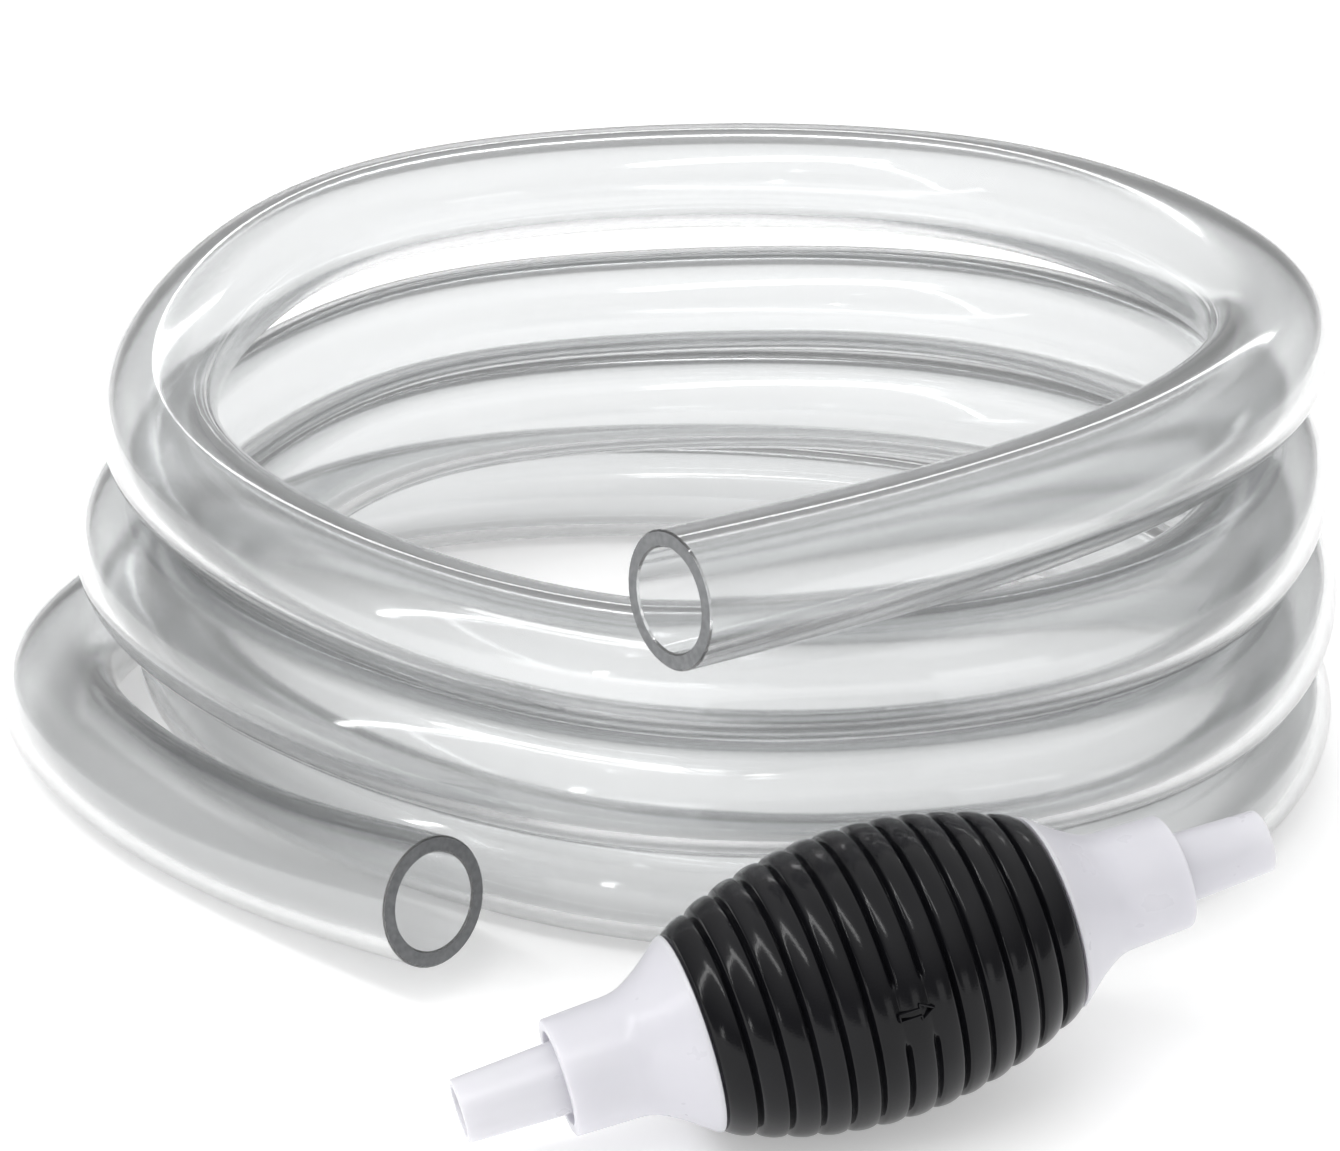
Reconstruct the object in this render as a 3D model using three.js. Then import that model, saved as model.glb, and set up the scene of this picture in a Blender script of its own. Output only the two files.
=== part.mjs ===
// Gravel vacuum siphon: a clear hose in a loose coil, and a squeeze bulb pump lying in front of it.
// Units are millimetres and +Z is up. The origin is on the floor under the middle of the pump, and
// +X runs along the pump, from its inlet to its outlet.
import * as THREE from "three";

// Pump, measured along its own axis from its middle. Every size is repeated at both ends.
const PUMP_LENGTH = 133.2;
const NOZZLE_LENGTH = 15.7;
const COLLAR_LENGTH = 12.1;
const CONE_LENGTH = 9.3;
const PUMP_TILT = THREE.MathUtils.degToRad(11);
const GAP = 0.3;
const ROUND_SIDES = 24;

// Squeeze bulb
const BULB_RADIUS = 22.8;
const BULB_END_RADIUS = 16;
const BULB_WALL = 3;
const BULB_LIP_RADIUS = 13.7;
const BULB_LIP_LENGTH = 5;
const BULB_STEPS = 12;

// Housings: a collar for the hose, a cone, and a barbed neck that the bulb's lip grips
const COLLAR_TIP_RADIUS = 9.2;
const COLLAR_ROOT_RADIUS = 9.6;
const COLLAR_BORE_RADIUS = 7.3;
const SOCKET_DEPTH = 9;
const THROAT_RADIUS = 6;
const THROAT_FLARE_RADIUS = 8.4;
const CONE_RADIUS = 15.6;
const CONE_BEND_RADIUS = 11.5;
const CONE_BEND_OFFSET = 3.65;
const NECK_RADIUS = BULB_LIP_RADIUS - GAP;
const NECK_BORE_RADIUS = 11.8;
const BARB_RADIUS = 14.8;
const BARB_LENGTH = 2;

// Nozzles
const NOZZLE_TIP_RADIUS = 5;
const NOZZLE_ROOT_RADIUS = 5.7;
const NOZZLE_BORE_RADIUS = 4;
const PLUG_RADIUS = COLLAR_BORE_RADIUS - GAP;
const GROOVE_DEPTH = 1.25;
const SEAL_THICKNESS = 0.95;
const SEAL_OFFSET = 3.5;
const SEAL_SIDES = 8;

// One-way valves: a ported seat, and a poppet whose stem runs in the seat and carries a clip
const SEAT_THICKNESS = 2;
const SEAT_INSET = 4;
const PORT_COUNT = 6;
const PORT_RADIUS = 1.7;
const PORT_CIRCLE_RADIUS = 4.7;
const GUIDE_RADIUS = 1.5;
const PORT_SEGMENTS = 6;
const DISC_RADIUS = 7.6;
const DISC_THICKNESS = 1.2;
const DISC_BEVEL = 0.4;
const STEM_RADIUS = GUIDE_RADIUS - GAP;
const CLIP_RADIUS = 2.6;
const CLIP_THICKNESS = 1;
const STEM_TAIL = 0.5;
const VALVE_TRAVEL = 2.2;

// Hose
const HOSE_RADIUS = 11;
const HOSE_BORE_RADIUS = 8.25;
const HOSE_SIDES = 12;
const HOSE_CUT = 0.5;
const COIL_CENTRE = new THREE.Vector3(16.3, 143.7, 0);
const COIL_START_ANGLE = THREE.MathUtils.degToRad(-107.25);

// The coil's stations: eighths of a turn from its start, distance from the coil's centre, height.
// It runs anticlockwise, seen from above, from the free end on top to the free end on the floor.
const COIL_STATIONS = [
  [-0.04, 127, 79.3], [0.45, 105, 77.8], [1, 103, 80], [1.5, 107, 83.5],
  [2, 105, 85.5], [3, 98, 84.5], [4, 99, 80.5], [5, 109, 76.5], [6, 103, 63], [7, 92, 57.3],
  [8, 103, 55.2], [9, 116, 57.5], [10, 108, 62], [11, 92, 61.5], [12, 84, 57.5], [13, 98, 53.5],
  [14, 110, 39], [15, 95, 34.7], [16, 101, 33.2], [17, 117, 35], [18, 112, 38.5], [19, 94, 37.8],
  [20, 87, 34.5], [21, 98, 31], [22, 99, 16.5], [23, 84, 11.5], [24, 91, 11], [25, 112, 11],
  [26, 115, 11], [27, 101, 11], [28, 95, 11], [29, 112, 11], [30, 124, 11], [30.55, 114, 11],
  [31.05, 108, 11.5], [31.53, 117, 18],
];
const SAMPLES_PER_STATION = 8;
const SAMPLES_PER_RING = 4;
const RELAX_ROUNDS = 10;
const RELAX_SHARE = 0.25;
const UPPER_END_STATIONS = 1;
const LOWER_END_STATIONS = 2;

const HALF_LENGTH = PUMP_LENGTH / 2;
const COLLAR_TIP = HALF_LENGTH - NOZZLE_LENGTH;
const COLLAR_ROOT = COLLAR_TIP - COLLAR_LENGTH;
const CONE_END = COLLAR_ROOT - CONE_LENGTH;
const BULB_HALF_LENGTH = CONE_END - GAP;
const LIP_END = BULB_HALF_LENGTH - BULB_LIP_LENGTH;
const BARB_START = LIP_END - GAP;
const NECK_END = BARB_START - BARB_LENGTH;
const SEAT_POSITION = NECK_END + SEAT_INSET;
const ARC_RISE = BULB_RADIUS - BULB_END_RADIUS;
const BULB_ARC_RADIUS = (BULB_HALF_LENGTH ** 2 + ARC_RISE ** 2) / (2 * ARC_RISE);

const rubberBlack = new THREE.MeshStandardMaterial({ color: 0x232327, roughness: 0.45 });
const plasticWhite = new THREE.MeshStandardMaterial({ color: 0xe9e7ef, roughness: 0.35 });
const plasticInner = new THREE.MeshStandardMaterial({ color: 0xdcdde2, roughness: 0.4 });
const siliconeGrey = new THREE.MeshStandardMaterial({ color: 0x8b8f96, roughness: 0.6 });
const hoseClear = new THREE.MeshStandardMaterial({
  color: 0xdfe4e6,
  roughness: 0.08,
  transparent: true,
  opacity: 0.35,
});

function named(name, geometry, material) {
  const mesh = new THREE.Mesh(geometry, material);
  mesh.name = name;
  return mesh;
}

function signedArea(points) {
  return points.reduce((sum, a, i) => {
    const b = points[(i + 1) % points.length];
    return sum + (a.x * b.y - b.x * a.y) / 2;
  }, 0);
}

// A closed ring of revolution about the pump's axis from [radius, position] pairs.
function ring(pairs, sides = ROUND_SIDES) {
  const points = pairs.map(([radius, along]) => new THREE.Vector2(radius, along));
  if (signedArea(points) < 0) points.reverse();
  points.push(points[0].clone());
  return new THREE.LatheGeometry(points, sides);
}

// A solid of revolution whose profile starts and ends on the axis.
function solid(pairs, sides = ROUND_SIDES) {
  const points = pairs.map(([radius, along]) => new THREE.Vector2(radius, along));
  if (signedArea(points) < 0) points.reverse();
  return new THREE.LatheGeometry(points, sides);
}

function bulbRadiusAt(along) {
  return Math.sqrt(BULB_ARC_RADIUS ** 2 - along ** 2) - BULB_ARC_RADIUS + BULB_RADIUS;
}

function squeezeBulb() {
  const outside = [];
  const inside = [];
  for (let i = 0; i <= BULB_STEPS; i++) {
    const share = (2 * i) / BULB_STEPS - 1;
    const outer = share * BULB_HALF_LENGTH;
    const inner = share * LIP_END;
    outside.push([bulbRadiusAt(outer), outer]);
    inside.unshift([bulbRadiusAt(inner) - BULB_WALL, inner]);
  }
  return ring([
    ...outside,
    [BULB_LIP_RADIUS, BULB_HALF_LENGTH],
    [BULB_LIP_RADIUS, LIP_END],
    ...inside,
    [BULB_LIP_RADIUS, -LIP_END],
    [BULB_LIP_RADIUS, -BULB_HALF_LENGTH],
  ]);
}

// side is -1 at the inlet and 1 at the outlet.
function mirrored(side, pairs) {
  return pairs.map(([radius, along]) => [radius, side * along]);
}

function endHousing(side) {
  return ring(
    mirrored(side, [
      [COLLAR_BORE_RADIUS, COLLAR_TIP],
      [COLLAR_TIP_RADIUS, COLLAR_TIP],
      [COLLAR_ROOT_RADIUS, COLLAR_ROOT],
      [CONE_BEND_RADIUS, COLLAR_ROOT - CONE_BEND_OFFSET],
      [CONE_RADIUS, CONE_END],
      [NECK_RADIUS, CONE_END],
      [NECK_RADIUS, BARB_START],
      [BARB_RADIUS, BARB_START],
      [NECK_RADIUS, NECK_END],
      [NECK_BORE_RADIUS, NECK_END],
      [NECK_BORE_RADIUS, CONE_END],
      [THROAT_FLARE_RADIUS, COLLAR_ROOT - CONE_LENGTH / 2],
      [THROAT_RADIUS, COLLAR_ROOT],
      [THROAT_RADIUS, COLLAR_TIP - SOCKET_DEPTH],
      [COLLAR_BORE_RADIUS, COLLAR_TIP - SOCKET_DEPTH],
    ]),
  );
}

function nozzle(side) {
  const grooveOuter = COLLAR_TIP - SEAL_OFFSET;
  const grooveInner = grooveOuter - SEAL_THICKNESS - 2 * GAP;
  return ring(
    mirrored(side, [
      [NOZZLE_BORE_RADIUS, HALF_LENGTH],
      [NOZZLE_TIP_RADIUS, HALF_LENGTH],
      [NOZZLE_ROOT_RADIUS, COLLAR_TIP],
      [PLUG_RADIUS, COLLAR_TIP],
      [PLUG_RADIUS, grooveOuter],
      [PLUG_RADIUS - GROOVE_DEPTH, grooveOuter],
      [PLUG_RADIUS - GROOVE_DEPTH, grooveInner],
      [PLUG_RADIUS, grooveInner],
      [PLUG_RADIUS, COLLAR_TIP - SOCKET_DEPTH + GAP],
      [NOZZLE_BORE_RADIUS, COLLAR_TIP - SOCKET_DEPTH + GAP],
    ]),
  );
}

function sealRing(side) {
  const middle = COLLAR_TIP - SEAL_OFFSET - GAP - SEAL_THICKNESS / 2;
  const radius = PLUG_RADIUS - GROOVE_DEPTH + GAP + SEAL_THICKNESS / 2;
  const pairs = [];
  for (let i = 0; i < SEAL_SIDES; i++) {
    const angle = (i * 2 * Math.PI) / SEAL_SIDES;
    pairs.push([
      radius + (Math.cos(angle) * SEAL_THICKNESS) / 2,
      side * middle + (Math.sin(angle) * SEAL_THICKNESS) / 2,
    ]);
  }
  return ring(pairs);
}

function circlePath(x, y, radius) {
  const path = new THREE.Path();
  path.absarc(x, y, radius, 0, 2 * Math.PI, true);
  return path;
}

// A ported disc, lying across the pump's axis with its upstream face at 0.
function valveSeat() {
  const outline = new THREE.Shape();
  outline.absarc(0, 0, NECK_BORE_RADIUS - GAP, 0, 2 * Math.PI, false);
  outline.holes.push(circlePath(0, 0, GUIDE_RADIUS));
  for (let i = 0; i < PORT_COUNT; i++) {
    const angle = (i * 2 * Math.PI) / PORT_COUNT;
    const x = PORT_CIRCLE_RADIUS * Math.cos(angle);
    const y = PORT_CIRCLE_RADIUS * Math.sin(angle);
    outline.holes.push(circlePath(x, y, PORT_RADIUS));
  }
  const geometry = new THREE.ExtrudeGeometry(outline, {
    depth: SEAT_THICKNESS,
    bevelEnabled: false,
    curveSegments: PORT_SEGMENTS,
  });
  return geometry.rotateX(-Math.PI / 2);
}

// Disc and stem in one, closed against the downstream face of a seat that starts at 0.
function valvePoppet() {
  const face = SEAT_THICKNESS + GAP;
  const stemEnd = -(VALVE_TRAVEL + GAP + CLIP_THICKNESS + STEM_TAIL);
  return solid([
    [0, stemEnd],
    [STEM_RADIUS, stemEnd],
    [STEM_RADIUS, face],
    [DISC_RADIUS, face],
    [DISC_RADIUS - DISC_BEVEL, face + DISC_THICKNESS],
    [0, face + DISC_THICKNESS],
  ]);
}

function stemClip() {
  const upstream = -(VALVE_TRAVEL + GAP);
  return ring([
    [STEM_RADIUS + GAP, upstream],
    [CLIP_RADIUS, upstream],
    [CLIP_RADIUS, upstream - CLIP_THICKNESS],
    [STEM_RADIUS + GAP, upstream - CLIP_THICKNESS],
  ]);
}

// Both valves open along the flow, so they face the same way: into the bulb, then out of it.
function checkValve(name, seatStart) {
  const valve = new THREE.Group();
  valve.position.y = seatStart;
  valve.add(named(`${name}_valve_seat`, valveSeat(), plasticInner));
  valve.add(named(`${name}_valve_poppet`, valvePoppet(), siliconeGrey));
  valve.add(named(`${name}_stem_clip`, stemClip(), plasticInner));
  return valve;
}

function pump() {
  const group = new THREE.Group();
  group.add(named("squeeze_bulb", squeezeBulb(), rubberBlack));
  [["inlet", -1], ["outlet", 1]].forEach(([name, side]) => {
    group.add(named(`${name}_housing`, endHousing(side), plasticWhite));
    group.add(named(`${name}_nozzle`, nozzle(side), plasticWhite));
    group.add(named(`${name}_seal_ring`, sealRing(side), siliconeGrey));
    const seatStart = side > 0 ? SEAT_POSITION - SEAT_THICKNESS : -SEAT_POSITION - SEAT_THICKNESS;
    group.add(checkValve(name, seatStart));
  });
  group.rotation.set(0, -PUMP_TILT, -Math.PI / 2);
  group.position.z = BULB_ARC_RADIUS - (BULB_ARC_RADIUS - BULB_RADIUS) * Math.cos(PUMP_TILT);
  return group;
}

// The hose's centre line: a spline through the stations, relaxed into even bends.
function hoseSamples() {
  const stations = COIL_STATIONS.map(([eighths, radius, height]) => {
    const angle = (eighths * Math.PI) / 4 + COIL_START_ANGLE;
    const point = new THREE.Vector3(radius * Math.cos(angle), radius * Math.sin(angle), height);
    return point.add(COIL_CENTRE);
  });
  const spline = new THREE.CatmullRomCurve3(stations, false, "centripetal");
  let samples = spline.getPoints((stations.length - 1) * SAMPLES_PER_STATION);
  for (let round = 0; round < RELAX_ROUNDS; round++) {
    samples = samples.map((sample, i) => {
      if (i === 0 || i === samples.length - 1) return sample;
      const neighbours = samples[i - 1].clone().add(samples[i + 1]);
      const kept = sample.clone().multiplyScalar(1 - 2 * RELAX_SHARE);
      return kept.addScaledVector(neighbours, RELAX_SHARE);
    });
  }
  samples.forEach((sample) => {
    sample.z = Math.max(sample.z, HOSE_RADIUS);
  });
  return samples;
}

// A stretch of the centre line, measured in samples, so that rings on neighbouring turns line up.
class Stretch extends THREE.Curve {
  constructor(route, first, last) {
    super();
    this.route = route;
    this.first = first;
    this.last = last;
  }

  getPoint(t, target = new THREE.Vector3()) {
    const sample = this.first + (this.last - this.first) * t;
    return this.route.getPoint(sample / (this.route.points.length - 1), target);
  }

  getUtoTmapping(u) {
    return u;
  }
}

function hoseSection() {
  const section = new THREE.Shape();
  const bore = new THREE.Path();
  for (let i = 0; i < HOSE_SIDES; i++) {
    const angle = (i * 2 * Math.PI) / HOSE_SIDES;
    const draw = i === 0 ? "moveTo" : "lineTo";
    section[draw](HOSE_RADIUS * Math.cos(angle), HOSE_RADIUS * Math.sin(angle));
    bore[draw](HOSE_BORE_RADIUS * Math.cos(angle), -HOSE_BORE_RADIUS * Math.sin(angle));
  }
  section.closePath();
  bore.closePath();
  section.holes.push(bore);
  return section;
}

function hoseLength(route, first, last) {
  return new THREE.ExtrudeGeometry(hoseSection(), {
    steps: Math.round((last - first) / SAMPLES_PER_RING),
    extrudePath: new Stretch(route, first, last),
  });
}

function hose() {
  const group = new THREE.Group();
  const route = new THREE.CatmullRomCurve3(hoseSamples(), false, "centripetal");
  const end = route.points.length - 1;
  const coilStart = UPPER_END_STATIONS * SAMPLES_PER_STATION;
  const coilEnd = end - LOWER_END_STATIONS * SAMPLES_PER_STATION;
  const cut = (HOSE_CUT * end) / route.getLength();
  group.add(named("hose_upper_end", hoseLength(route, 0, coilStart - cut), hoseClear));
  group.add(named("hose_coil", hoseLength(route, coilStart, coilEnd), hoseClear));
  group.add(named("hose_lower_end", hoseLength(route, coilEnd + cut, end), hoseClear));
  return group;
}

const group = new THREE.Group();
group.add(pump());
group.add(hose());

export default group;
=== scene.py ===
"""Looks for the gravel vacuum siphon: a clear hose in a loose coil, and a squeeze bulb pump."""
import math

import bpy
import numpy as np
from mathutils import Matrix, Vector


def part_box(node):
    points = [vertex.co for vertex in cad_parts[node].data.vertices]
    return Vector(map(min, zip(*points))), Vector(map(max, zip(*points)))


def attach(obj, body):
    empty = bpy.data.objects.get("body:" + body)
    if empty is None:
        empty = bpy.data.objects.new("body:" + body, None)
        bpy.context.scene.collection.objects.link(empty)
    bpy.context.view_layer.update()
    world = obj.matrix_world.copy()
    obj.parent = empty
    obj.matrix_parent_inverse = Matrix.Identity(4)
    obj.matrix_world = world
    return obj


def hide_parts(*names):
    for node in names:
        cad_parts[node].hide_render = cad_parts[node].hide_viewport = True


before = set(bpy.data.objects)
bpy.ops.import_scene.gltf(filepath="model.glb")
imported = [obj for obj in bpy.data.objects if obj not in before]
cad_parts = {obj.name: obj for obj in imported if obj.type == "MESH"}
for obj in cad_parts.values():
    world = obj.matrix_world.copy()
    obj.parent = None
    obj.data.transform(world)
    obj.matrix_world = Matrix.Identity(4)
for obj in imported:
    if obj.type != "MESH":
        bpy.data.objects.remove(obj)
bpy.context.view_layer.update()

MM = 0.001
FULL_TURN = 2 * math.pi

# Camera
CAMERA_PLACE = (-0.16364, -0.42309, 0.2820)
CAMERA_TURN = math.radians(-17.25)
CAMERA_TILT = math.radians(67)
CAMERA_LENS = 90.5
CAMERA_NEAR = 0.01

# Sky: one brightness up to the horizon's height, another from the zenith's; straight up is 1
HORIZON_HEIGHT = 0.25
HORIZON_BRIGHTNESS = 0.35
ZENITH_HEIGHT = 0.8
ZENITH_BRIGHTNESS = 1.15

# Area lights: name, place, point aimed at, width and height, power
LIGHTS = [
    ("key", (-0.45, -0.2, 0.95), (0, 0.05, 0.02), (0.9, 0.1), 2.6),
    ("back", (0.4, 0.9, 0.7), (0, 0.1, 0.05), (0.9, 0.06), 1.2),
    ("left", (-0.9, 0.05, 0.6), (0, 0, 0.02), (0.03, 0.9), 2.2),
    ("low_left", (-0.8, -0.6, 0.1), (0, 0, 0.02), (0.04, 0.12), 0.25),
    ("front", (0.35, -1.0, 0.14), (0, 0, 0.02), (0.4, 0.25), 0.4),
]

# Floor
FLOOR_HALF_SIZE = 4.0
FLOOR_DROP = 0.0002
FLOOR_GLOW = 0.36

# Hose, in metres
HOSE_DIAMETER = 0.022
HOSE_BORE = 0.0165
HOSE_SIDES = 40
HOSE_EDGE = 0.0003
HOSE_SHARP_ANGLE = math.radians(35)
COIL_CENTRE = np.array((0.0163, 0.1437, 0.0))
COIL_START_ANGLE = math.radians(-107.25)
# Eighths of a turn from the coil's start, distance from the coil's centre, height
COIL_STATIONS = [
    (-0.04, 0.127, 0.0793), (0.45, 0.105, 0.0778), (1, 0.103, 0.080), (1.5, 0.107, 0.0835),
    (2, 0.105, 0.0855), (3, 0.098, 0.0845), (4, 0.099, 0.0805), (5, 0.109, 0.0765),
    (6, 0.103, 0.063), (7, 0.092, 0.0573), (8, 0.103, 0.0552), (9, 0.116, 0.0575),
    (10, 0.108, 0.062), (11, 0.092, 0.0615), (12, 0.084, 0.0575), (13, 0.098, 0.0535),
    (14, 0.110, 0.039), (15, 0.095, 0.0347), (16, 0.101, 0.0332), (17, 0.117, 0.035),
    (18, 0.112, 0.0385), (19, 0.094, 0.0378), (20, 0.087, 0.0345), (21, 0.098, 0.031),
    (22, 0.099, 0.0165), (23, 0.084, 0.0115), (24, 0.091, 0.011), (25, 0.112, 0.011),
    (26, 0.115, 0.011), (27, 0.101, 0.011), (28, 0.095, 0.011), (29, 0.112, 0.011),
    (30, 0.124, 0.011), (30.55, 0.114, 0.011), (31.05, 0.108, 0.0115), (31.53, 0.117, 0.018),
]
SAMPLES_PER_STATION = 8
RINGS_PER_SAMPLE = 2
RELAX_ROUNDS = 10
RELAX_SHARE = 0.25

# Painted shade on the hose, set by how far a spot on the outside faces up, from -1 to 1, and darker
# the more it faces up; the bore takes the lowest
HOSE_PAINTED_SHADE = [
    (0.35, (0.89, 0.897, 0.9)),
    (0.78, (0.81, 0.818, 0.822)),
    (0.97, (0.48, 0.488, 0.492)),
]
BORE_FACING = -1.0

# Pump, in millimetres along its own axis from its middle
PUMP_TILT = math.radians(11)
HALF_LENGTH = 66.6
COLLAR_TIP = 50.9
COLLAR_ROOT = 38.8
CONE_END = 29.5
BULB_HALF_LENGTH = 29.2
LIP_END = 24.2
BARB_START = 23.9
NECK_END = 21.9
SOCKET_END = 41.9

# Bulb
BULB_RADIUS = 22.8
BULB_END_RADIUS = 16.0
BULB_WALL = 3.0
BULB_LIP_RADIUS = 13.7
BULB_LIP_EDGE = 0.3
BULB_SIDES = 180
BULB_STEP = 0.2
BULB_EDGE_LENGTH = 0.4
BULB_EDGE_DROP = 0.6
BULB_SHARP_ANGLE = math.radians(60)
CAVITY_STEPS = 24
GROOVE_COUNT = 12
GROOVE_PITCH = 4.5
GROOVE_DEPTH = 0.8
GROOVE_WIDTH = 0.37
BAND_CROWN = 0.45
PATCH_ANGLE = math.radians(166)
PATCH_HALF_ANGLE = math.radians(11)
PATCH_FADE = math.radians(3)

# Flow arrow in the patch: (along, up) from its middle, clockwise from the top of its tail
ARROW_OUTLINE = [
    (-2.7, 0.55), (0.6, 0.55), (0.6, 1.25), (2.7, 0), (0.6, -1.25), (0.6, -0.55), (-2.7, -0.55),
]
ARROW_STEPS = 6
ARROW_HALF_LINE = 0.2
ARROW_HEIGHT = 0.32
# Section of the arrow's line: (out, up) as parts of its half width and its height
ARROW_SECTION = [(1, -1), (1, 0.3), (0.5, 1), (-0.5, 1), (-1, 0.3), (-1, -1)]

# Housings
COLLAR_TIP_RADIUS = 9.2
COLLAR_ROOT_RADIUS = 9.6
COLLAR_BORE_RADIUS = 7.3
CONE_RADIUS = 15.6
CONE_BEND_RADIUS = 11.9
CONE_BEND_OFFSET = 5.2
RIM_LENGTH = 0.6
RIM_DRAFT = 0.1
NECK_RADIUS = 13.4
NECK_BORE_RADIUS = 11.8
BARB_RADIUS = 14.8
THROAT_RADIUS = 6.0
THROAT_FLARE_RADIUS = 8.4

# Nozzles, each with a plug in its collar and a groove for the seal ring
NOZZLE_TIP_RADIUS = 5.0
NOZZLE_ROOT_RADIUS = 5.7
NOZZLE_BORE_RADIUS = 4.0
PLUG_RADIUS = 7.0
PLUG_RECESS = 0.9
PLUG_GAP = 0.3
SEAL_GROOVE_OFFSET = 3.5
SEAL_GROOVE_WIDTH = 1.55
SEAL_GROOVE_RADIUS = 5.75

# Turned pieces; a fillet reaches along at most a share of an edge, and below the least isn't made
LATHE_SIDES = 96
LATHE_SHARP_ANGLE = math.radians(50)
FILLET_STEPS = 5
FILLET_LEAST = 0.01
FILLET_SHARE = 0.45

# Where most of a noise's values lie
NOISE_LOW = 0.3
NOISE_HIGH = 0.7

# The pump's own frame: along its axis, towards the coil, and up
bulb_low, bulb_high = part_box("squeeze_bulb")
PUMP_MIDDLE = np.array((bulb_low + bulb_high) / 2)
ALONG = np.array((math.cos(PUMP_TILT), 0, math.sin(PUMP_TILT)))
ACROSS = np.array((0, 1, 0))
UPWARD = np.array((-math.sin(PUMP_TILT), 0, math.cos(PUMP_TILT)))


def catmull_point(points, interval, share):
    """A point on the centripetal Catmull-Rom spline through points."""
    p1, p2 = points[interval], points[interval + 1]
    p0 = points[interval - 1] if interval > 0 else 2 * p1 - p2
    p3 = points[interval + 2] if interval + 2 < len(points) else 2 * p2 - p1
    d0 = np.linalg.norm(p1 - p0) ** 0.5
    d1 = np.linalg.norm(p2 - p1) ** 0.5
    d2 = np.linalg.norm(p3 - p2) ** 0.5
    t1 = ((p1 - p0) / d0 - (p2 - p0) / (d0 + d1) + (p2 - p1) / d1) * d1
    t2 = ((p2 - p1) / d1 - (p3 - p1) / (d1 + d2) + (p3 - p2) / d2) * d1
    return (
        p1
        + t1 * share
        + (-3 * p1 + 3 * p2 - 2 * t1 - t2) * share**2
        + (2 * p1 - 2 * p2 + t1 + t2) * share**3
    )


def spline(points, steps):
    """The spline through points, with each interval cut into steps."""
    found = [
        catmull_point(points, i, k / steps) for i in range(len(points) - 1) for k in range(steps)
    ]
    return np.array(found + [points[-1]])


def hose_route():
    """The line along the middle of the hose, which lies on the floor or above it."""
    stations = []
    for eighths, radius, height in COIL_STATIONS:
        angle = eighths * math.pi / 4 + COIL_START_ANGLE
        stations.append(COIL_CENTRE + (radius * math.cos(angle), radius * math.sin(angle), height))
    samples = spline(np.array(stations), SAMPLES_PER_STATION)
    for _ in range(RELAX_ROUNDS):
        before, here, after = samples[:-2], samples[1:-1], samples[2:]
        samples[1:-1] = RELAX_SHARE * before + (1 - 2 * RELAX_SHARE) * here + RELAX_SHARE * after
    samples[:, 2] = np.maximum(samples[:, 2], HOSE_DIAMETER / 2)
    return spline(samples, RINGS_PER_SAMPLE)


def carried_frames(route):
    """The route's direction and two directions across it, carried along it without twist."""
    tangents = np.gradient(route, axis=0)
    tangents /= np.linalg.norm(tangents, axis=1)[:, None]
    across = np.cross(tangents[0], (0, 0, 1))
    sideways = []
    for tangent in tangents:
        across = across - tangent * (across @ tangent)
        across = across / np.linalg.norm(across)
        sideways.append(across)
    sideways = np.array(sideways)
    return tangents, sideways, np.cross(tangents, sideways)


def mesh_object(name, vertices, faces, materials, sharp_angle):
    """A smooth-shaded object, with edges that turn by more than the sharp angle kept sharp."""
    mesh = bpy.data.meshes.new(name)
    mesh.from_pydata([tuple(v) for v in vertices], [], faces)
    mesh.validate()
    mesh.update()
    mesh.polygons.foreach_set("use_smooth", [True] * len(mesh.polygons))
    mesh.set_sharp_from_angle(angle=sharp_angle)
    for material in materials:
        mesh.materials.append(material)
    made = bpy.data.objects.new(name, mesh)
    bpy.context.scene.collection.objects.link(made)
    return made


def closed_loft(rings):
    """Vertices and faces of a solid whose rings, of one size, follow each other round to the first."""
    count, sides = len(rings), len(rings[0])
    faces = []
    for i in range(count):
        here, there = i * sides, (i + 1) % count * sides
        for k in range(sides):
            after = (k + 1) % sides
            faces.append((here + k, here + after, there + after, there + k))
    return np.concatenate(rings), faces


def hose_tube(route):
    """The outside from end to end, then the bore back again, with both cut edges eased.

    Also gives the rings that the cut faces start from, and how far each vertex faces up.
    """
    tangents, across, over = carried_frames(route)
    angles = np.linspace(0, FULL_TURN, HOSE_SIDES, endpoint=False)
    outer, inner = HOSE_DIAMETER / 2, HOSE_BORE / 2

    def ring(i, radius, shift=0.0):
        circle = np.outer(np.cos(angles), across[i]) + np.outer(np.sin(angles), over[i])
        return route[i] + tangents[i] * shift + radius * circle

    last = len(route) - 1
    rings = [ring(0, outer - HOSE_EDGE), ring(0, outer, HOSE_EDGE)]
    rings += [ring(i, outer) for i in range(1, last)]
    rings += [ring(last, outer, -HOSE_EDGE), ring(last, outer - HOSE_EDGE)]
    outside_rings = len(rings)
    rings += [ring(last, inner + HOSE_EDGE), ring(last, inner, -HOSE_EDGE)]
    rings += [ring(i, inner) for i in range(last - 1, 0, -1)]
    rings += [ring(0, inner, HOSE_EDGE), ring(0, inner + HOSE_EDGE)]
    vertices, faces = closed_loft(rings)
    cut_rings = (outside_rings - 1, len(rings) - 1)

    outside = [0, *range(last + 1), last]
    facing = np.outer(across[outside, 2], np.cos(angles)) + np.outer(over[outside, 2], np.sin(angles))
    upper_side = np.full(len(vertices), BORE_FACING)
    upper_side[:facing.size] = facing.ravel()
    return vertices, faces, cut_rings, upper_side


def new_material(name, **values):
    """A material whose shader has the given values, and its node tree and shader."""
    material = bpy.data.materials.new(name)
    material.use_nodes = True
    shader = material.node_tree.nodes["Principled BSDF"]
    for key, value in values.items():
        shader.inputs[key.replace("_", " ")].default_value = value
    return material, material.node_tree, shader


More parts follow.
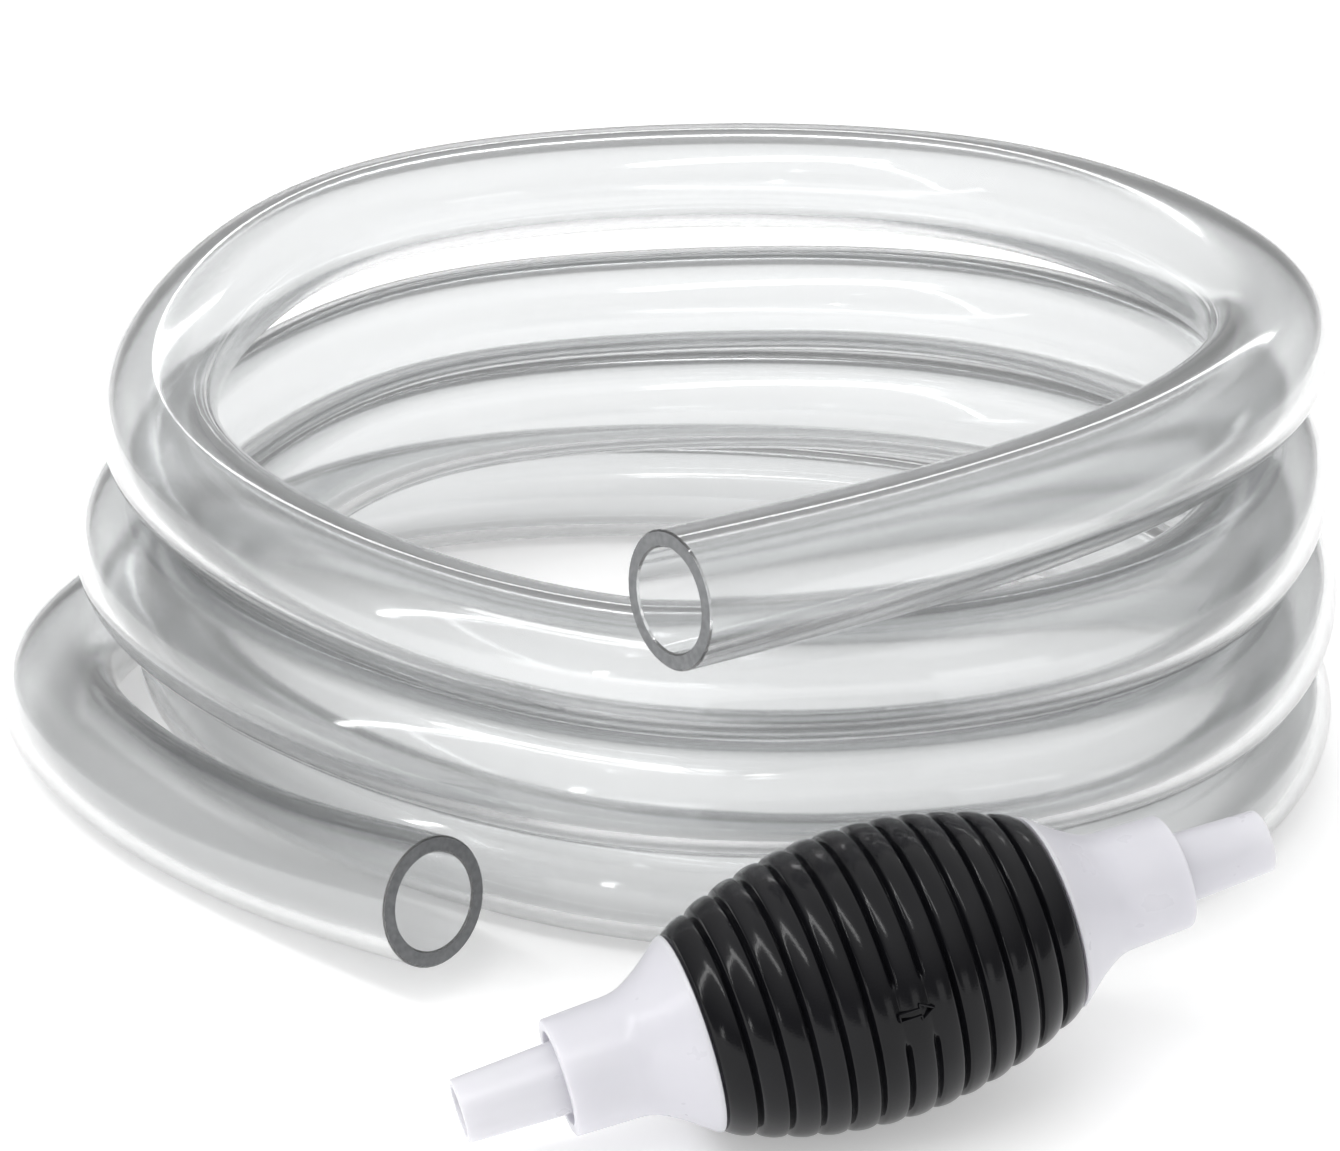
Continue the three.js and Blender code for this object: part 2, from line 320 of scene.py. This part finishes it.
def add_noise(tree, scale, detail=3.0):
    place = tree.nodes.new("ShaderNodeTexCoord")
    noise = tree.nodes.new("ShaderNodeTexNoise")
    noise.inputs["Scale"].default_value = scale
    noise.inputs["Detail"].default_value = detail
    tree.links.new(place.outputs["Object"], noise.inputs["Vector"])
    return noise.outputs["Fac"]


def add_ramp(tree, factor, stops):
    """A colour that follows a factor through stops, each a place and a colour."""
    ramp = tree.nodes.new("ShaderNodeValToRGB")
    elements = ramp.color_ramp.elements
    while len(elements) < len(stops):
        elements.new(0.5)
    for element, (place, colour) in zip(elements, stops):
        element.position = place
        element.color = (*colour, 1)
    tree.links.new(factor, ramp.inputs["Fac"])
    return ramp.outputs["Color"]


def vary_colour(tree, shader, scale, low, high):
    stops = [(NOISE_LOW, low), (NOISE_HIGH, high)]
    tree.links.new(add_ramp(tree, add_noise(tree, scale), stops), shader.inputs["Base Color"])


def vary_roughness(tree, shader, scale, low, high):
    spread = tree.nodes.new("ShaderNodeMapRange")
    spread.inputs["To Min"].default_value = low
    spread.inputs["To Max"].default_value = high
    tree.links.new(add_noise(tree, scale), spread.inputs["Value"])
    tree.links.new(spread.outputs["Result"], shader.inputs["Roughness"])


def add_bump(tree, shader, noise, strength, distance):
    bump = tree.nodes.new("ShaderNodeBump")
    bump.inputs["Strength"].default_value = strength
    bump.inputs["Distance"].default_value = distance
    tree.links.new(noise, bump.inputs["Height"])
    tree.links.new(bump.outputs["Normal"], shader.inputs["Normal"])


def clear_hose_material():
    material, tree, shader = new_material(
        "clear_pvc", Roughness=0.09, IOR=1.45, Transmission_Weight=0.95,
        Coat_Weight=0.3, Coat_Roughness=0.03,
    )
    upper = tree.nodes.new("ShaderNodeAttribute")
    upper.attribute_name = "upper_side"
    # Painted shade: the hose's colour darkens where its outside faces up
    painted_shade = add_ramp(tree, upper.outputs["Fac"], HOSE_PAINTED_SHADE)
    tree.links.new(painted_shade, shader.inputs["Base Color"])
    add_bump(tree, shader, add_noise(tree, scale=45), strength=0.03, distance=0.0006)
    return material


def cut_face_material():
    material, tree, shader = new_material("cut_pvc", Roughness=0.5, IOR=1.45)
    vary_colour(tree, shader, scale=900, low=(0.13, 0.135, 0.14), high=(0.19, 0.195, 0.2))
    return material


def black_rubber_material():
    material, tree, shader = new_material("black_rubber", IOR=1.5, Specular_IOR_Level=0.22)
    vary_colour(tree, shader, scale=90, low=(0.003, 0.003, 0.004), high=(0.006, 0.006, 0.0075))
    vary_roughness(tree, shader, scale=220, low=0.13, high=0.18)
    add_bump(tree, shader, add_noise(tree, scale=2600, detail=2), strength=0.12, distance=0.0001)
    return material


def white_plastic_material():
    material, tree, shader = new_material(
        "white_plastic", IOR=1.46,
        Subsurface_Weight=0.6, Subsurface_Scale=0.004, Subsurface_Radius=(1, 0.95, 1),
    )
    vary_colour(tree, shader, scale=45, low=(0.61, 0.605, 0.65), high=(0.66, 0.655, 0.695))
    vary_roughness(tree, shader, scale=160, low=0.24, high=0.34)
    return material


def inner_plastic_material():
    material, tree, shader = new_material("inner_plastic", IOR=1.46)
    vary_colour(tree, shader, scale=120, low=(0.7, 0.71, 0.74), high=(0.76, 0.77, 0.8))
    vary_roughness(tree, shader, scale=300, low=0.35, high=0.5)
    return material


def grey_silicone_material():
    material, tree, shader = new_material("grey_silicone", IOR=1.42)
    vary_colour(tree, shader, scale=200, low=(0.2, 0.21, 0.23), high=(0.26, 0.27, 0.29))
    vary_roughness(tree, shader, scale=400, low=0.45, high=0.6)
    return material


def make_camera():
    data = bpy.data.cameras.new("camera")
    data.lens = CAMERA_LENS
    data.clip_start = CAMERA_NEAR
    camera = bpy.data.objects.new("camera", data)
    camera.location = CAMERA_PLACE
    camera.rotation_euler = (CAMERA_TILT, 0, CAMERA_TURN)
    bpy.context.scene.collection.objects.link(camera)
    bpy.context.scene.camera = camera


def make_hose():
    route = hose_route()
    vertices, faces, cut_rings, upper_side = hose_tube(route)
    materials = [clear_hose_material(), cut_face_material()]
    tube = mesh_object("clear_hose", vertices, faces, materials, HOSE_SHARP_ANGLE)
    for ring in cut_rings:
        for k in range(HOSE_SIDES):
            tube.data.polygons[ring * HOSE_SIDES + k].material_index = 1
    tube.data.attributes.new("upper_side", "FLOAT", "POINT").data.foreach_set("value", upper_side)
    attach(tube, "hose")
    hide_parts("hose_upper_end", "hose_coil", "hose_lower_end")


def pump_point(along, radius, angle):
    """A point of the pump, in metres, from its place round the pump's axis in millimetres."""
    direction = ACROSS * math.cos(angle) + UPWARD * math.sin(angle)
    return PUMP_MIDDLE + (ALONG * along + direction * radius) * MM


def bulb_radius(along):
    """The radius of the plain barrel, whose side is an arc."""
    rise = BULB_RADIUS - BULB_END_RADIUS
    arc = (BULB_HALF_LENGTH**2 + rise**2) / (2 * rise)
    return math.sqrt(arc**2 - along**2) - arc + BULB_RADIUS


def smooth_step(value):
    value = min(1.0, max(0.0, value))
    return value * value * (3 - 2 * value)


def groove_depth(along, angle):
    """How far the ribbed outside lies below the plain barrel."""
    depth = 0.0
    for k in range(GROOVE_COUNT):
        middle = (k - (GROOVE_COUNT - 1) / 2) * GROOVE_PITCH
        cut = GROOVE_DEPTH * math.exp(-(((along - middle) / GROOVE_WIDTH) ** 2))
        if abs(middle) < GROOVE_PITCH:
            turn = abs((angle - PATCH_ANGLE + math.pi) % FULL_TURN - math.pi)
            cut *= smooth_step((turn - PATCH_HALF_ANGLE) / PATCH_FADE)
        depth += cut
    in_band = (along / GROOVE_PITCH + 0.5) % 1 - 0.5
    return depth + BAND_CROWN * (2 * in_band) ** 2


def flow_arrow():
    """A raised line round the arrow's outline, on the bulb's smooth patch."""
    places = []
    for start, end in zip(ARROW_OUTLINE, ARROW_OUTLINE[1:] + ARROW_OUTLINE[:1]):
        for k in range(ARROW_STEPS):
            places.append(np.array(start) + (np.array(end) - np.array(start)) * k / ARROW_STEPS)
    rings = []
    for i, place in enumerate(places):
        onward = places[(i + 1) % len(places)] - places[i - 1]
        outward = np.array((-onward[1], onward[0])) / np.linalg.norm(onward)
        section = []
        for shift, rise in ARROW_SECTION:
            along, up = place + outward * shift * ARROW_HALF_LINE
            angle = PATCH_ANGLE - up / BULB_RADIUS
            section.append(pump_point(along, bulb_radius(along) + rise * ARROW_HEIGHT, angle))
        rings.append(np.array(section))
    return closed_loft(rings)


def make_bulb():
    """The ribbed barrel and its open cavity, with the flow arrow on its patch."""
    angles = np.linspace(0, FULL_TURN, BULB_SIDES, endpoint=False)
    reach = BULB_HALF_LENGTH - BULB_EDGE_LENGTH
    steps = round(2 * reach / BULB_STEP)
    rings = []
    for i in range(steps + 1):
        along = reach * (2 * i / steps - 1)
        base = bulb_radius(along)
        rings.append([pump_point(along, base - groove_depth(along, a), a) for a in angles])
    lip = [
        (BULB_HALF_LENGTH, BULB_END_RADIUS - BULB_EDGE_DROP),
        (BULB_HALF_LENGTH, BULB_LIP_RADIUS + BULB_LIP_EDGE),
        (BULB_HALF_LENGTH - BULB_LIP_EDGE, BULB_LIP_RADIUS),
        (LIP_END, BULB_LIP_RADIUS),
    ]
    cavity = [LIP_END * (1 - 2 * i / CAVITY_STEPS) for i in range(CAVITY_STEPS + 1)]
    inside = lip + [(along, bulb_radius(along) - BULB_WALL) for along in cavity]
    inside += [(-along, radius) for along, radius in reversed(lip)]
    rings += [[pump_point(along, radius, a) for a in angles] for along, radius in inside]
    vertices, faces = closed_loft([np.array(ring) for ring in reversed(rings)])

    arrow_vertices, arrow_faces = flow_arrow()
    faces += [tuple(index + len(vertices) for index in face) for face in arrow_faces]
    vertices = np.concatenate([vertices, arrow_vertices])
    bulb = mesh_object("ribbed_bulb", vertices, faces, [black_rubber_material()], BULB_SHARP_ANGLE)
    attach(bulb, "pump")
    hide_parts("squeeze_bulb")


def rounded(corners):
    """A closed outline of (along, radius, fillet) corners with each corner rounded by its fillet."""
    outline = []
    for i, (along, radius, fillet) in enumerate(corners):
        here = np.array((along, radius))
        before = np.array(corners[i - 1][:2]) - here
        after = np.array(corners[(i + 1) % len(corners)][:2]) - here
        room = FILLET_SHARE * np.linalg.norm(before), FILLET_SHARE * np.linalg.norm(after)
        reach = min(fillet, *room)
        if reach < FILLET_LEAST:
            outline.append(here)
            continue
        start = here + before / np.linalg.norm(before) * reach
        end = here + after / np.linalg.norm(after) * reach
        for k in range(FILLET_STEPS + 1):
            t = k / FILLET_STEPS
            outline.append(start * (1 - t) ** 2 + here * 2 * t * (1 - t) + end * t**2)
    return outline


def turned_piece(name, node, side, corners, material):
    """A white solid of revolution at one side of the pump, in place of a CAD node."""
    outline = [(side * along, radius) for along, radius in rounded(corners)]
    if side > 0:  # so that the faces look outward
        outline.reverse()
    angles = np.linspace(0, FULL_TURN, LATHE_SIDES, endpoint=False)
    rings = [
        np.array([pump_point(along, radius, angle) for angle in angles]) for along, radius in outline
    ]
    vertices, faces = closed_loft(rings)
    made = mesh_object(name, vertices, faces, [material], LATHE_SHARP_ANGLE)
    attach(made, "pump")
    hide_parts(node)


def make_housing(end, side, material):
    corners = [
        (COLLAR_TIP, COLLAR_BORE_RADIUS, 0.3),
        (COLLAR_TIP, COLLAR_TIP_RADIUS, 0.5),
        (COLLAR_ROOT, COLLAR_ROOT_RADIUS, 2.0),
        (CONE_END + CONE_BEND_OFFSET, CONE_BEND_RADIUS, 2.0),
        (CONE_END + RIM_LENGTH, CONE_RADIUS - RIM_DRAFT, 0.8),
        (CONE_END, CONE_RADIUS, 0.2),
        (CONE_END, NECK_RADIUS, 0.2),
        (BARB_START, NECK_RADIUS, 0),
        (BARB_START, BARB_RADIUS, 0.3),
        (NECK_END, NECK_RADIUS, 0.3),
        (NECK_END, NECK_BORE_RADIUS, 0.3),
        (CONE_END, NECK_BORE_RADIUS, 1.0),
        ((COLLAR_ROOT + CONE_END) / 2, THROAT_FLARE_RADIUS, 1.5),
        (COLLAR_ROOT, THROAT_RADIUS, 1.0),
        (SOCKET_END, THROAT_RADIUS, 0.2),
        (SOCKET_END, COLLAR_BORE_RADIUS, 0.2),
    ]
    turned_piece(end + "_end_housing", end + "_housing", side, corners, material)


def make_nozzle(end, side, material):
    plug_top = COLLAR_TIP - PLUG_RECESS
    plug_end = SOCKET_END + PLUG_GAP
    groove_outer = COLLAR_TIP - SEAL_GROOVE_OFFSET
    groove_inner = groove_outer - SEAL_GROOVE_WIDTH
    corners = [
        (HALF_LENGTH, NOZZLE_BORE_RADIUS, 0.2),
        (HALF_LENGTH, NOZZLE_TIP_RADIUS, 0.35),
        (plug_top, NOZZLE_ROOT_RADIUS, 0.3),
        (plug_top, PLUG_RADIUS, 0.2),
        (groove_outer, PLUG_RADIUS, 0.1),
        (groove_outer, SEAL_GROOVE_RADIUS, 0.1),
        (groove_inner, SEAL_GROOVE_RADIUS, 0.1),
        (groove_inner, PLUG_RADIUS, 0.1),
        (plug_end, PLUG_RADIUS, 0.2),
        (plug_end, NOZZLE_BORE_RADIUS, 0.2),
    ]
    turned_piece(end + "_hose_nozzle", end + "_nozzle", side, corners, material)


def finish_inner_pieces(end, silicone, inner_plastic):
    """Materials for the seal ring and valve, which keep their CAD shapes."""
    for node, finish in (
        ("seal_ring", silicone),
        ("valve_poppet", silicone),
        ("valve_seat", inner_plastic),
        ("stem_clip", inner_plastic),
    ):
        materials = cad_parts[f"{end}_{node}"].data.materials
        materials.clear()
        materials.append(finish)


def area_light(name, place, aim, size, power):
    data = bpy.data.lights.new(name, "AREA")
    data.shape = "RECTANGLE"
    data.size, data.size_y = size
    data.energy = power
    light = bpy.data.objects.new(name, data)
    light.location = place
    direction = Vector(aim) - Vector(place)
    light.rotation_euler = direction.to_track_quat("-Z", "Y").to_euler()
    bpy.context.scene.collection.objects.link(light)


def make_light():
    """A sky that is brighter towards the zenith, and the area lights."""
    world = bpy.data.worlds.new("studio")
    world.use_nodes = True
    bpy.context.scene.world = world
    tree = world.node_tree
    direction = tree.nodes.new("ShaderNodeTexCoord")
    parts = tree.nodes.new("ShaderNodeSeparateXYZ")
    tree.links.new(direction.outputs["Generated"], parts.inputs["Vector"])
    stops = [
        (HORIZON_HEIGHT, [HORIZON_BRIGHTNESS] * 3),
        (ZENITH_HEIGHT, [ZENITH_BRIGHTNESS] * 3),
    ]
    sky = add_ramp(tree, parts.outputs["Z"], stops)
    tree.links.new(sky, tree.nodes["Background"].inputs["Color"])
    for light in LIGHTS:
        area_light(*light)


def make_floor():
    mesh = bpy.data.meshes.new("floor")
    half = FLOOR_HALF_SIZE
    corners = [(-half, -half, 0), (half, -half, 0), (half, half, 0), (-half, half, 0)]
    mesh.from_pydata(corners, [], [(0, 1, 2, 3)])
    floor = bpy.data.objects.new("floor", mesh)
    floor.location.z = -FLOOR_DROP
    bpy.context.scene.collection.objects.link(floor)
    material, _, _ = new_material(
        "floor_white", Base_Color=(0.88, 0.88, 0.88, 1), Roughness=0.7, Specular_IOR_Level=0.1,
        Emission_Color=(1, 1, 1, 1), Emission_Strength=FLOOR_GLOW,
    )
    mesh.materials.append(material)


make_camera()
make_hose()
make_bulb()
make_light()
make_floor()
white_plastic = white_plastic_material()
inner_plastic = inner_plastic_material()
grey_silicone = grey_silicone_material()
for end, side in (("inlet", -1), ("outlet", 1)):
    make_housing(end, side, white_plastic)
    make_nozzle(end, side, white_plastic)
    finish_inner_pieces(end, grey_silicone, inner_plastic)
bpy.context.scene.view_settings.view_transform = "Standard"
